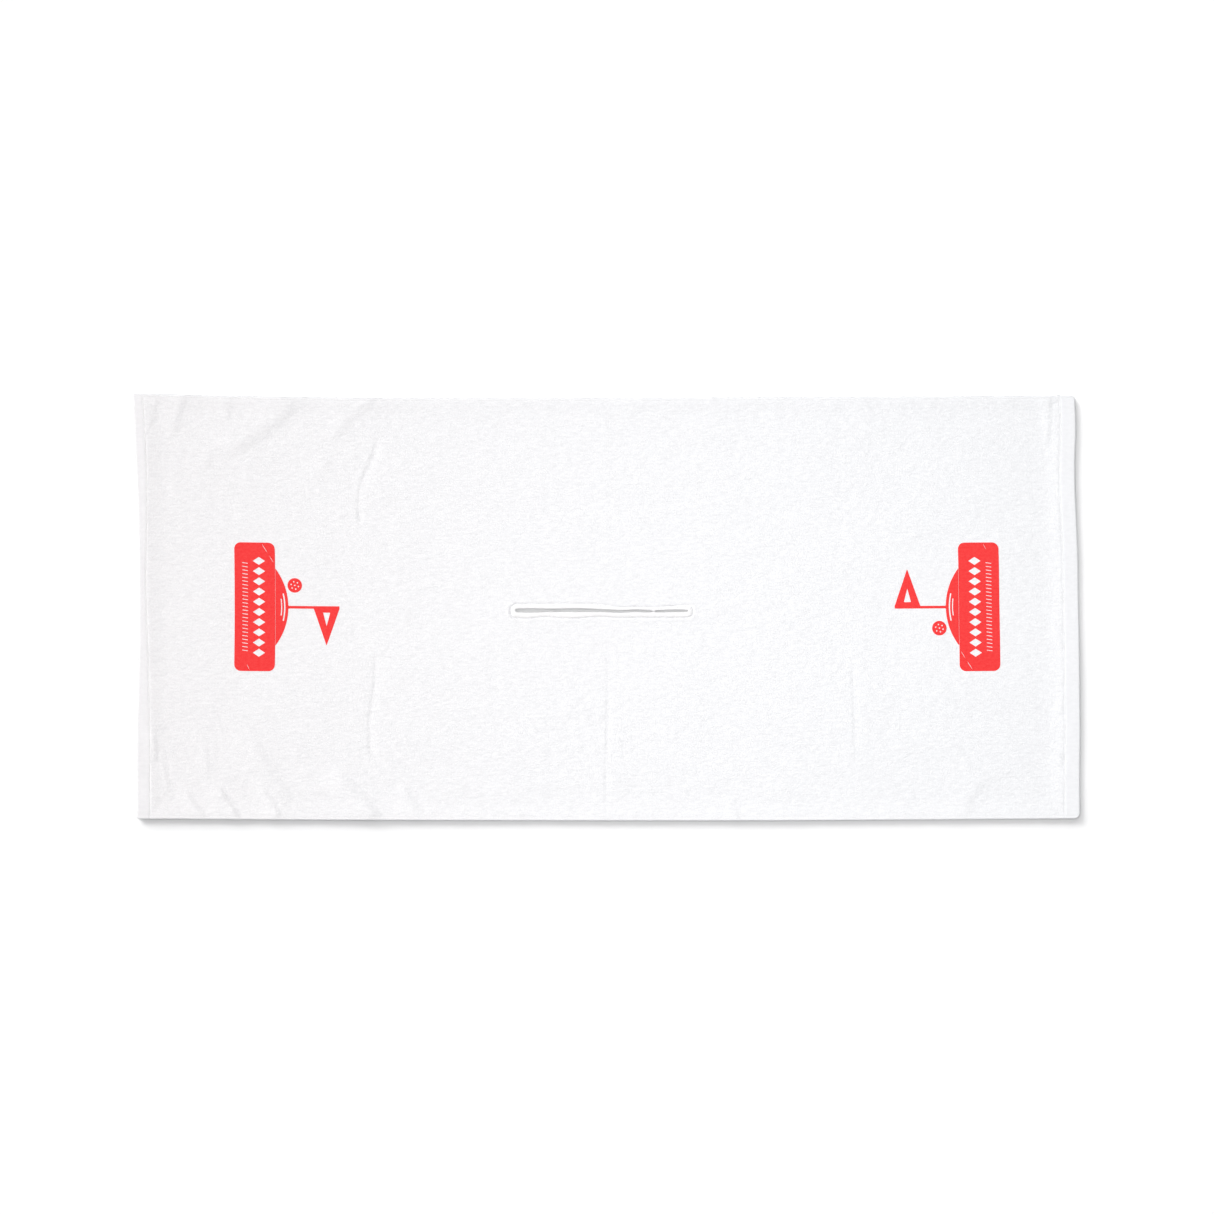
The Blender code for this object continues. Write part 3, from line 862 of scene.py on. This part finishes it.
def weave_look(name, dark, light, thread, turn, strength):
    """Flat woven cotton: crossing threads so far apart, turned by an angle."""
    look = Look(name, 0.10, 0.4, 0.25)
    threads = look.scaled(look.place, (1 / thread, 1 / thread), turn)
    warp, weft = (look.wave(threads, way, 1.4, **{"Detail": 1.0, "Detail Scale": 2.0}) for way in "XY")
    weave = look.times(warp, weft)
    patches = look.noise(look.place, (150, 260), detail=3.0, roughness=0.6)
    # painted shade: the weave colours the cloth too, lighter where the threads cross on top and darker
    # between them; the patches are random tone
    tone = look.add(look.spread(weave, 0.0, 0.8, 0.0, 0.4), look.spread(patches, 0.35, 0.65, 0.0, 0.6))
    roughness = look.spread(patches, 0.3, 0.7, 0.95, 0.82)
    return look.finish(look.mix(tone, dark, light), roughness, weave, strength, 0.25 * MM)


def thread_look(name, dark, light):
    """Two-ply sewing thread with slanting plies. Its pattern is (along the stitch, round it)."""
    look = Look(name, 0.05, 0.4, 0.35)
    plies = look.wave(look.scaled(look.place, (1 / (0.45 * MM), 1), 0.6), "X", 0.3)
    fluff = look.noise(look.place, (900, 2), detail=3.0)
    # painted shade: the plies' bands colour the thread too, lighter on each ply's crest and darker in the
    # grooves between plies; the fluff is random tone
    tone = look.add(look.times(plies, 0.6), look.times(fluff, 0.4))
    roughness = look.spread(fluff, 0.3, 0.7, 0.75, 0.55)
    return look.finish(look.mix(tone, dark, light), roughness, plies, 0.6, 0.12 * MM)


def ink_look(name, thin, full):
    """Ink printed on the pile: it lets a little white through between the tufts."""
    look = Look(name, 0.0, 0.4, 0.12)
    streaks = look.noise(look.place, (260, 420), detail=3.0, roughness=0.6)
    grain = look.noise(look.place, (900, 1100))
    tone = look.spread(look.add(streaks, look.times(grain, 0.5)), 0.52, 0.92)
    height = look.add(look.times(streaks, 0.8), look.times(grain, 0.4))
    roughness = look.spread(grain, 0.3, 0.7, 0.82, 0.68)
    return look.finish(look.mix(tone, full, thin), roughness, height, 0.35, 0.30 * MM)


FRONT_TERRY = terry_look(
    "front_terry", (0.850, 0.858, 0.873), (0.922, 0.929, 0.942), (2.3, 1.45), 0.50 * MM, 0.16
)
BACK_TERRY = terry_look("back_terry", (0.838, 0.843, 0.855), (0.915, 0.92, 0.93), (2.4, 2.1), 0.8 * MM, 0.20)
HEM_WEAVE = weave_look("hem_weave", (0.842, 0.850, 0.865), (0.900, 0.907, 0.922), 1.1 * MM, 0.0, 0.35)
BAND_WEAVE = weave_look("band_weave", (0.900, 0.900, 0.905), (0.955, 0.955, 0.960), 0.9 * MM, 0.785, 0.3)
THREAD = thread_look("thread", (0.885, 0.885, 0.89), (0.955, 0.955, 0.955))
INK = ink_look("ink", (0.885, 0.062, 0.060), (0.865, 0.034, 0.036))

# ======== cloth and hems
INNER = ("left_inner", "right_inner")
# part: (its ends along the towel, the fold it crosses, the bodies that fold joins, the bodies it stands for)
PARTS = {
    "left": ((CLOTH_LEFT, CUT_LEFT), "left_fold", ("left_end", "left_inner"), ("left_end",)),
    "centre": ((CUT_LEFT, CUT_RIGHT), "centre_fold", INNER, INNER),
    "right": ((CUT_RIGHT, CLOTH_RIGHT), "right_fold", ("right_inner", "right_end"), ("right_end",)),
}
belongings = {part: [] for part in PARTS}  # what goes with each part's cloth


def across_fold(piece, part, prefix, names=None):
    """Bakes a piece's place into its mesh; the piece crosses its part's fold. It replaces a node for each
    body that its part stands for, or for each of the names given, with the prefix in front."""
    _, fold, bodies, stands_for = PARTS[part]
    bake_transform(piece)
    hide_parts(*(prefix + name for name in names or stands_for))


def sew_across_fold(piece, part, prefix, names=None):
    across_fold(piece, part, prefix, names)
    belongings[part].append(piece)


def sew_on_end(piece, end, node):
    """Ties a piece to an end of the towel."""
    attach(piece, end + "_end")
    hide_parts(node)
    belongings[end].append(piece)


cloths, terry = {}, [FRONT_TERRY, BACK_TERRY]
for part, (ends, *_) in PARTS.items():
    sides = (CLOTH_FRONT, CLOTH_BACK)
    cloths[part] = cloth_block("terry_" + part, ends, sides, False, terry, around_slit=part == "centre")
    for edge, sides in (("front", (FRONT, CLOTH_FRONT)), ("back", (CLOTH_BACK, BACK))):
        hem = cloth_block(f"hem_{edge}_{part}", ends, sides, True, [HEM_WEAVE])
        sew_across_fold(hem, part, f"side_hem_{edge}_")
for end, ends in (("left", (LEFT, CLOTH_LEFT)), ("right", (CLOTH_RIGHT, RIGHT))):
    hem = cloth_block("hem_end_" + end, ends, (FRONT, BACK), True, [HEM_WEAVE])
    sew_on_end(hem, end, "end_hem_" + end)


# ======== slit band
def band_heights(run, from_slit, from_outside):
    """Heights of the band's upper and lower faces over the lie of the cloth."""
    puffs = 0.16 * MM * value_noise(run, from_slit, 0.0062, 0.004, 81)
    puffs = puffs + 0.2 * MM * value_noise(run, 0 * run, 0.019, 1, 82)
    stitched = 0.55 * MM * bell(from_outside - BAND_SEAM_INSET, 0.55 * MM)
    sewn = stitched + 1.35 * MM * bell(from_outside, 0.9 * MM)
    turn, middle = rounded(from_slit, BAND_TURN), BAND_TURN_MIDDLE
    full = BAND_TOP - 0.1 * MM + puffs - sewn
    return middle + (full - middle) * turn, middle - (middle - 0.15 * MM - 0.5 * sewn) * turn


def band_piece():
    """The tape folded over the slit's edge, sewn near its outer edge and drawn into the cloth there."""
    columns = np.array([0, 0.02, 0.06, 0.12, 0.20, 0.32, 0.47, 0.61, 0.73, 0.83, 0.91, 1.0])
    across = BAND_LOOP - SLIT_LOOP
    wide = np.linalg.norm(across, axis=1)[:, None]
    from_slit, from_outside = columns * wide, (1 - columns) * wide
    u, v = (SLIT_LOOP[:, k, None] + across[:, k, None] * columns for k in (0, 1))
    steps = np.linalg.norm(np.roll(BAND_LOOP, -1, 0) - BAND_LOOP, axis=1)
    run = np.cumsum(steps)[:, None] + 0 * columns
    top, low = (sheet_lift(u, v) + height for height in band_heights(run, from_slit, from_outside))
    section = np.concatenate([lay_out(u, v, top), lay_out(u, v, low)[:, ::-1]], axis=1)
    above, below = np.stack([run, from_slit], -1), np.stack([run, -from_slit], -1)[:, ::-1]
    pattern = np.concatenate([above, below], axis=1)
    faces = tube_faces(len(section), 2 * len(columns), closed=True)
    return make_piece("slit_band", section.reshape(-1, 3), faces, pattern.reshape(-1, 2), [BAND_WEAVE])


sew_across_fold(band_piece(), "centre", "slit_binding_", ("left", "right"))

# ======== stitches
STITCH_SIDES = 6
# Rings of one stitch: (place along it, -1 to 1, radius, and how far it is out of the cloth), in thread radii
STITCH_RINGS = (
    (-1.0, 0.50, -1.5), (-0.86, 0.85, -0.6), (-0.5, 1.0, 0.25), (0.0, 1.0, 0.45),
    (0.5, 1.0, 0.25), (0.86, 0.85, -0.6), (1.0, 0.5, -1.5),
)


def add_stitch(points, pattern, faces, start, end, height, up):
    """One stitch: a closed tube that arches out of the cloth and dips into it at both ends."""
    first, step = len(points), (end - start) / 2
    half = np.linalg.norm(step)
    side = np.array([-step[1], step[0]]) / max(half, 1e-9)
    for at, thick, rise in STITCH_RINGS:
        radius = THREAD_RADIUS * thick
        for angle in 2 * math.pi * np.arange(STITCH_SIDES) / STITCH_SIDES:
            place = (start + end) / 2 + step * at + side * radius * math.cos(angle)
            points.append((*place, height + up * (THREAD_RADIUS * rise + radius * math.sin(angle))))
            pattern.append(((at + 1) * half + 7 * start[0], angle))
    last = len(points) - STITCH_SIDES
    skin = tube_faces(len(STITCH_RINGS), STITCH_SIDES, first)
    skin.append(tuple(first + k for k in reversed(range(STITCH_SIDES))))
    skin.append(tuple(last + k for k in range(STITCH_SIDES)))
    faces += skin if up < 0 else [face[::-1] for face in skin]


def seam_piece(name, line, top_height, under_height, closed=False):
    """The upper and lower stitches of one seam, along a line on the pattern."""
    places = resample(line, STITCH_PITCH, closed)
    following = np.roll(places, -1, axis=0) if closed else places[1:]
    places = places if closed else places[:-1]
    slack = (1 - STITCH_LENGTH / STITCH_PITCH) / 2
    points, pattern, faces = [], [], []
    for shift, height, up in ((0.0, top_height, 1), (0.5, under_height, -1)):
        starts = places + (following - places) * (slack + shift)
        ends = places + (following - places) * (1 - slack + shift)
        if not closed and shift:
            starts, ends = starts[:-1], ends[:-1]
        heights = height(*((starts + ends) / 2).T)
        for stitch in zip(starts, ends, heights):
            add_stitch(points, pattern, faces, *stitch, up)
    return make_piece(name, lay_out(*np.array(points).T), faces, pattern, [THREAD])


def on_band(height):
    """A height function for stitches that lie so high on the band."""
    return lambda u, v: sheet_lift(u, v) + height


for part, (ends, *_) in PARTS.items():
    for edge, outer, inward in (("front", FRONT, 1), ("back", BACK, -1)):
        at = outer + inward * (SIDE_HEM - SEAM_INSET)
        line = [(ends[0] + SEAM_CUT_GAP, at), (ends[1] - SEAM_CUT_GAP, at)]
        seam = seam_piece(f"stitches_{edge}_{part}", line, towel_top, hem_underside)
        sew_across_fold(seam, part, f"side_seam_{edge}_")
for end, at in (("left", CLOTH_LEFT - SEAM_INSET), ("right", CLOTH_RIGHT + SEAM_INSET)):
    line = [(at, FRONT + SEAM_END), (at, BACK - SEAM_END)]
    seam = seam_piece("stitches_end_" + end, line, towel_top, hem_underside)
    sew_on_end(seam, end, "end_seam_" + end)
line = grow(BAND_LOOP, -BAND_SEAM_INSET)
seam = seam_piece("slit_stitches", line, on_band(BAND_TOP - 0.62 * MM), on_band(0.55 * MM), True)
sew_across_fold(seam, "centre", "slit_seam_", ("left", "right"))


# ======== prints
def arc(p, q, radius, start, end, steps):
    """Points on an arc, both ends included. Its angles are in degrees."""
    angles = np.radians(np.linspace(start, end, steps + 1))
    return [(p + radius * math.cos(t), q + radius * math.sin(t)) for t in angles]


def circle(p, q, radius, steps):
    return arc(p, q, radius, 0, 360 - 360 / steps, steps - 1)


def rounded_box(p_low, q_low, p_high, q_high, radius):
    p = (p_low + radius, p_high - radius)
    q = (q_low + radius, q_high - radius)
    corners = ((p[0], q[0], 180), (p[1], q[0], 270), (p[1], q[1], 0), (p[0], q[1], 90))
    return [point for a, b, start in corners for point in arc(a, b, radius, start, start + 90, 6)]


def lens(start, end, half):
    """A thin sliver from one point to another, in mm."""
    start, end = np.array(start) * MM, np.array(end) * MM
    step = end - start
    side = np.array([-step[1], step[0]]) / np.linalg.norm(step) * half * MM
    near, far = start + 0.3 * step, start + 0.7 * step
    return [start, near - side, far - side, end, far + side, near + side]


def film_mesh(outline, holes):
    """Places and triangles that fill an outline but not its holes."""
    loops = [resample(outline, INK_STEP, closed=True)]
    loops += [resample(hole, HOLE_STEP, closed=True) for hole in holes]
    border = np.vstack(loops)
    low, high = loops[0].min(0), loops[0].max(0)
    p, q = (g.ravel() for g in np.meshgrid(*(np.arange(low[k], high[k], STEP) for k in (0, 1))))

    def in_film(p, q):
        return np.logical_and.reduce([inside(p, q, loops[0])] + [~inside(p, q, hole) for hole in loops[1:]])

    inner = np.stack([p, q], 1)[in_film(p, q)]
    apart = np.hypot(inner[:, :1] - border[:, 0], inner[:, 1:] - border[:, 1]).min(1)
    places = np.vstack([border, inner[apart > INK_MARGIN]])
    return places, triangulate(places, 0, loops, in_film)


def facing_up(flat, triangle):
    """The triangle, turned over if its corners run clockwise."""
    (x0, y0), (x1, y1), (x2, y2) = (flat[k, :2] for k in triangle)
    return triangle if (x1 - x0) * (y2 - y0) > (x2 - x0) * (y1 - y0) else triangle[::-1]


def ink_film(name, item, outline, holes, cloth_tree):
    """A film of ink that follows the pile under it. outline and holes are in the print's own axes."""
    places, triangles = film_mesh(outline, holes)
    u, v = item.place(*places.T)
    flat = lay_out(u, v, 0.0)
    pile = [cloth_tree.ray_cast(Vector((x, y, 0.05)), Vector((0, 0, -1)))[0].z for x, y, _ in flat]
    count = len(places)
    points = np.vstack([flat, flat])
    points[:, 2] = np.concatenate([np.add(pile, INK_LIFT), np.subtract(pile, INK_SUNK)])
    upper = [facing_up(flat, t) for t in triangles]
    directed = {(f[k], f[(k + 1) % 3]) for f in upper for k in range(3)}
    rim = sorted((i, j) for i, j in directed if (j, i) not in directed)
    faces = upper + [tuple(k + count for k in reversed(f)) for f in upper]
    faces += [(i, i + count, j + count, j) for i, j in rim]
    piece = make_piece(name, points, faces, np.tile(np.stack([u, v], 1), (2, 1)), [INK])
    sharpen(piece.data, {tuple(sorted(pair)) for pair in rim})
    return piece


def bar_holes(item):
    """Diamonds and dashes left white in the bar, in two rows, and the cracks that folding made in its ink."""
    holes = []
    for k in range(10):
        p, q = (k - 4.5) * 11.9 * MM, 28.6 * MM
        holes.append([(p - 4.7 * MM, q), (p, q - 7.3 * MM), (p + 4.7 * MM, q), (p, q + 7.3 * MM)])
    dash = ((-0.9, 9.0), (-0.1, 9.0), (0.9, 15.8), (0.1, 15.8))
    for k in range(25):
        holes.append([((k - 12) * 4.25 * MM + p * MM, q * MM) for p, q in dash])
    half = item.long / 2 / MM
    holes.append(lens((-half + 1.0, 32), (-half + 12.5, 39.2), 0.28))
    holes.append(lens((-half + 14.5, 40.5), (-half + 24, 46.2), 0.25))
    holes.append(lens((half - 1.0, 18), (half - 8.5, 14.6), 0.22))
    return holes


def flag_shapes(item):
    """A pennant on a pole that stands in a low mound: (outline, holes)."""
    rise, chord, pole = 15 * MM, 90 * MM, 1.5 * MM
    base, top = item.wide + 0.3 * MM, item.reach + 0.3 * MM
    radius = (chord**2 / 4 + rise**2) / (2 * rise)
    centre = base + rise - radius
    foot, crest = math.degrees(math.asin((radius - rise) / radius)), math.degrees(math.acos(pole / radius))
    right, left = arc(0, centre, radius, foot, crest, 24), arc(0, centre, radius, 180 - crest, 180 - foot, 24)
    pennant = [(pole, top - 30 * MM), (pole + 43 * MM, top - 15 * MM), (pole, top)]
    holes = [[(6 * MM, top - 19.2 * MM), (22 * MM, top - 15 * MM), (6 * MM, top - 10.8 * MM)]]
    for inset, degrees, half in ((4.2 * MM, 13, 0.8 * MM), (7.8 * MM, 8.5, 0.6 * MM)):
        outer = arc(0, centre, radius - inset + half, 90 - degrees, 90 + degrees, 24)
        holes.append(outer + arc(0, centre, radius - inset - half, 90 + degrees, 90 - degrees, 24))
    return right + pennant + [(-pole, top)] + left, holes


def ball_shapes(item):
    """The ball beside the pole, with dimples: (outline, holes)."""
    low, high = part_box("print_ball_" + item.end)
    centre = on_pattern((low.x + high.x) / 2, (low.y + high.y) / 2 + PRINT_SHIFT)
    p, q = item.own(*(np.array(place) for place in centre))
    holes = [circle(p, q, 0.95 * MM, 10)]
    for k in range(6):
        turn = math.pi / 3 * k + 0.26
        holes.append(circle(p + 4.4 * MM * math.cos(turn), q + 4.4 * MM * math.sin(turn), 0.95 * MM, 10))
    return circle(p, q, (high.x - low.x) / 2, 40), holes


graph = bpy.context.evaluated_depsgraph_get()
for end, item in PRINTS.items():
    cloth_tree = BVHTree.FromObject(cloths[end], graph)
    bar = rounded_box(-item.long / 2, 0, item.long / 2, item.wide, BAR_CORNER)
    shapes = {"bar": (bar, bar_holes(item)), "flag": flag_shapes(item), "ball": ball_shapes(item)}
    for kind, (outline, holes) in shapes.items():
        film = ink_film(f"ink_{kind}_{end}", item, outline, holes, cloth_tree)
        sew_on_end(film, end, f"print_{kind}_{end}")

# ======== cloth, which takes its nodes' place once all that is on it is there
for part, (ends, *_) in PARTS.items():
    across_fold(cloths[part], part, "cloth_")


# ======== stage, light and camera
def lay_floor():
    """A pale matt floor, just under the towel."""
    mesh = bpy.data.meshes.new("floor")
    half = 30.0
    corners = [(-half, -half, 0), (half, -half, 0), (half, half, 0), (-half, half, 0)]
    mesh.from_pydata(corners, [], [(0, 1, 2, 3)])
    sockets = {"Base Color": (0.76, 0.76, 0.76, 1), "Roughness": 1.0, "Specular IOR Level": 0.0}
    mesh.materials.append(new_material("pale_paper", sockets)[0])
    plane = add_object("floor", mesh)
    plane.location.z = -0.1 * MM
    return plane


def group_of(name, members):
    group = bpy.data.collections.new(name)
    for member in members:
        group.objects.link(member)
    return group


def add_light(name, kind, energy, colour, place, toward, only_on):
    """A light at a place, aimed at another."""
    lamp = bpy.data.lights.new(name, kind)
    lamp.energy = energy
    lamp.color = colour
    light = add_object(name, lamp)
    light.location = place
    light.rotation_euler = (Vector(toward) - Vector(place)).to_track_quat("-Z", "Y").to_euler()
    if only_on is not None:
        light.light_linking.receiver_collection = only_on
    return lamp


def add_sun(name, energy, place, degrees, only_on=None):
    """Light from far away in a place's direction, from a disc so many degrees across."""
    add_light(name, "SUN", energy, (1, 1, 1), place, (0, 0, 0), only_on).angle = math.radians(degrees)


def add_panel(name, energy, place, toward, colour, only_on=None):
    """Light from a round panel."""
    lamp = add_light(name, "AREA", energy, colour, place, toward, only_on)
    lamp.shape = "DISK"
    lamp.size = 0.8


def add_lights():
    """Soft light from above, with the shadow's and the towel's own side light set apart from each other."""
    shown = bpy.context.scene.collection.objects
    pieces = [piece for piece in shown if piece.type == "MESH" and piece is not floor]
    on_towel, on_floor = group_of("lit_on_towel", pieces), group_of("lit_on_floor", [floor])
    add_sun("ceiling", 0.74, (-0.30, 0.34, 1.0), 60)
    add_panel("softbox", 5.1, (0.15, 0.0, 1.25), (0.15, 0.0, 0), (0.985, 0.994, 1.0))
    add_panel("left_bounce", 0.82, (-0.95, 0.0, 0.9), (-0.55, 0.0, 0), (1.0, 0.58, 0.42), on_towel)
    add_sun("low_light", 1.5, (-1.3, 0.45, 0.95), 32, on_towel)
    add_sun("side_light", 6.0, (-2.1, 2.4, 1.0), 38, on_floor)
    add_sun("back_light", 0.90, (0.3, 2.4, 1.0), 37, on_floor)
    add_sun("top_light", 0.10, (0, 0, 1.0), 20, on_floor)


def add_sky():
    """White to the camera, and a dimmer even fill to everything else."""
    world = bpy.data.worlds.new("studio")
    bpy.context.scene.world = world
    world.use_nodes = True
    tree = world.node_tree
    tree.nodes.clear()
    seen = add_node(tree, "Background", {"Color": (1, 1, 1, 1), "Strength": 1.0}).outputs[0]
    fill = add_node(tree, "Background", {"Color": (0.99, 0.985, 1.0, 1), "Strength": 0.345}).outputs[0]
    direct = add_node(tree, "LightPath").outputs["Is Camera Ray"]
    chosen = add_node(tree, "MixShader", {0: direct, 1: fill, 2: seen}).outputs[0]
    add_node(tree, "OutputWorld", {"Surface": chosen})


def add_camera():
    """Straight above the towel, at a height from which the picture spans a set width of the floor."""
    floor_width = 1.4221
    data = bpy.data.cameras.new("camera")
    data.lens = 100
    data.sensor_width = 36
    camera = add_object("camera", data)
    camera.location = (-0.00176, 0.00094, floor_width * data.lens / data.sensor_width)
    bpy.context.scene.camera = camera


floor = lay_floor()
add_lights()
add_sky()
add_camera()
bpy.context.scene.view_settings.view_transform = "Standard"
